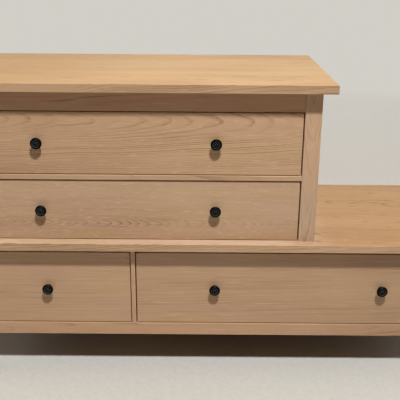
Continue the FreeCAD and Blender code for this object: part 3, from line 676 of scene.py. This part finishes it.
def make_world():
    """A warm dome of light, dim near the horizon, seen as a plain pale background."""
    world = bpy.data.worlds.new("studio")
    world.use_nodes = True
    nodes = world.node_tree.nodes
    links = world.node_tree.links
    dome = nodes["Background"]
    direction = nodes.new("ShaderNodeTexCoord").outputs["Generated"]
    split = nodes.new("ShaderNodeSeparateXYZ")
    links.new(direction, split.inputs[0])
    ramp = nodes.new("ShaderNodeValToRGB")
    links.new(split.outputs["Z"], ramp.inputs["Fac"])
    for element, (height, colour) in zip(ramp.color_ramp.elements, DOME_COLOURS):
        element.position = height
        element.color = (*colour, 1.0)
    links.new(ramp.outputs["Color"], dome.inputs["Color"])
    dome.inputs["Strength"].default_value = DOME_STRENGTH

    seen = nodes.new("ShaderNodeBackground")
    seen.inputs["Color"].default_value = BACKGROUND
    rays = nodes.new("ShaderNodeLightPath").outputs
    looks = rays["Is Camera Ray"]
    for kind in ("Is Glossy Ray", "Is Transmission Ray"):
        either = nodes.new("ShaderNodeMath")
        either.operation = "MAXIMUM"
        links.new(looks, either.inputs[0])
        links.new(rays[kind], either.inputs[1])
        looks = either.outputs[0]
    mix = nodes.new("ShaderNodeMixShader")
    links.new(looks, mix.inputs["Fac"])
    links.new(dome.outputs[0], mix.inputs[1])
    links.new(seen.outputs[0], mix.inputs[2])
    links.new(mix.outputs[0], nodes["World Output"].inputs["Surface"])
    scene.world = world


def make_camera():
    """The photograph's viewpoint: the focal length is in pixels of a frame 400 wide."""
    place = Vector((-0.039, -1.9795, 1.141))
    focal_pixels = 698.8
    frame_pixels = 400
    pitch = math.radians(19.58)
    yaw = math.radians(0.02)
    roll = math.radians(0.44)
    level = Vector((math.sin(yaw), math.cos(yaw), 0))
    forward = math.cos(pitch) * level - math.sin(pitch) * Vector((0, 0, 1))
    right = Vector((math.cos(yaw), -math.sin(yaw), 0))
    up = right.cross(forward)
    across = math.cos(roll) * right + math.sin(roll) * up
    upward = -math.sin(roll) * right + math.cos(roll) * up
    data = bpy.data.cameras.new("camera")
    data.sensor_width = 36.0
    data.lens = focal_pixels / frame_pixels * data.sensor_width
    data.clip_end = 200.0
    camera = bpy.data.objects.new("camera", data)
    columns = (across, upward, -forward)
    camera.matrix_world = Matrix.Translation(place) @ Matrix(columns).transposed().to_4x4()
    scene.collection.objects.link(camera)
    scene.camera = camera


# Screws that hold the back panels: columns and levels of each block of heads on a panel's back
BACK_SCREWS = {
    "base_back_panel": (
        ([-0.60 + 0.171 * number for number in range(8)], [0.128]),
        ([-0.705, 0.705], [0.20, 0.28, 0.36]),
        ([-0.222], [0.22, 0.32]),
    ),
    "upper_back_panel": (
        ([-0.705, 0.246], [0.43, 0.54, 0.65, 0.76]),
    ),
}

# Screw sizes: radius and height of the head, radius and length of the shank
BACK_SCREW_SIZES = (0.0034, 0.0013, 0.0014, 0.012)
KNOB_HEAD_RADIUS = 0.0045
KNOB_HEAD_HEIGHT = 0.0025
KNOB_SHANK_RADIUS = 0.0020

# A domed head from its seat to its recess: shares of its radius and height
HEAD_PROFILE = ((1.0, 0.0), (1.0, 0.30), (0.92, 0.62), (0.72, 0.88), (0.56, 0.97))
TIP_SHARE = 0.15
CORNERS = 24

# A cross recess: its reach as a share of the head's radius, half the angle of an arm, how much
# smaller its floor is, and the floor's level as a share of the head's height
CROSS_REACH = 0.42
CROSS_ANGLE = math.radians(15)
CROSS_NARROWING = 0.6
CROSS_FLOOR = 0.35


def head_ring(mesh, place, radius, height):
    """A ring of points round the axis of a screw, at a height along it."""
    ring = []
    for number in range(CORNERS):
        angle = 2 * math.pi * number / CORNERS
        point = Vector((radius * math.cos(angle), radius * math.sin(angle), height))
        ring.append(mesh.verts.new(place @ point))
    return ring


def cross_ring(mesh, place, reach, height):
    """The twelve corners of a cross, each 30 degrees from the next round the axis."""
    half_width = reach * math.tan(CROSS_ANGLE)
    ring = []
    for quarter in range(4):
        turn = Matrix.Rotation(quarter * math.pi / 2, 3, "Z")
        for corner in ((reach, half_width), (half_width, half_width), (half_width, reach)):
            ring.append(mesh.verts.new(place @ (turn @ Vector((*corner, height)))))
    return ring


def join_rings(mesh, first, second):
    for number in range(len(first)):
        after = (number + 1) % len(first)
        mesh.faces.new((first[number], first[after], second[after], second[number]))


def screw(mesh, place, radius, height, shank_radius, shank_length):
    """A screw with a domed head on +Z of its place, a cross recess, a shank and a point."""
    shank = [
        (TIP_SHARE * shank_radius, -shank_length),
        (shank_radius, 2 * shank_radius - shank_length),
        (shank_radius, 0.0),
    ]
    head = [(share * radius, level * height) for share, level in HEAD_PROFILE]
    rings = [head_ring(mesh, place, *point) for point in shank + head]
    for first, second in zip(rings, rings[1:]):
        join_rings(mesh, first, second)
    mesh.faces.new(list(reversed(rings[0])))
    reach = CROSS_REACH * radius
    cross = cross_ring(mesh, place, reach, height)
    for number, corner in enumerate(cross):
        outer = [rings[-1][(2 * number + 1 + step) % CORNERS] for step in range(3)]
        mesh.faces.new((corner, *outer, cross[(number + 1) % len(cross)]))
    floor = cross_ring(mesh, place, CROSS_NARROWING * reach, CROSS_FLOOR * height)
    join_rings(mesh, cross, floor)
    mesh.faces.new(floor)


def screw_piece(name, places, sizes, body):
    """One piece with a screw at each place."""
    mesh = bmesh.new()
    for place in places:
        screw(mesh, place, *sizes)
    bmesh.ops.recalc_face_normals(mesh, faces=mesh.faces)
    data = bpy.data.meshes.new(name)
    mesh.to_mesh(data)
    mesh.free()
    piece = bpy.data.objects.new(name, data)
    scene.collection.objects.link(piece)
    data.materials.append(plated_steel(name))
    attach(piece, body)
    return piece


def facing_back(draw, x, y, z):
    """The place of a screw whose head looks to the back, turned by chance."""
    twist = Matrix.Rotation(draw.uniform(0, math.pi), 4, "Z")
    return Matrix.Translation((x, y, z)) @ Matrix.Rotation(-math.pi / 2, 4, "X") @ twist


def make_screws():
    draw = random.Random(5)
    for panel, blocks in BACK_SCREWS.items():
        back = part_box(panel)[1].y
        spots = [(x, z) for columns, levels in blocks for x in columns for z in levels]
        places = [facing_back(draw, x, back, z) for x, z in spots]
        screw_piece(panel.replace("_panel", "_screws"), places, BACK_SCREW_SIZES, "case")
    for drawer in DRAWERS:
        node = drawer + "_knob_screws"
        low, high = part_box(node)
        seat = high.y - KNOB_HEAD_HEIGHT
        places = []
        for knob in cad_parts:
            if knob.startswith(drawer) and knob.endswith("_knob"):
                knob_low, knob_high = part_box(knob)
                middle = (knob_low + knob_high) / 2
                places.append(facing_back(draw, middle.x, seat, middle.z))
        sizes = (KNOB_HEAD_RADIUS, KNOB_HEAD_HEIGHT, KNOB_SHANK_RADIUS, seat - low.y)
        piece = screw_piece(drawer + "_pan_screws", places, sizes, drawer)
        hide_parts(node)


make_camera()
make_floor()
make_lamps()
make_world()
dress_tops()
dress_case()
dress_drawers()
make_screws()
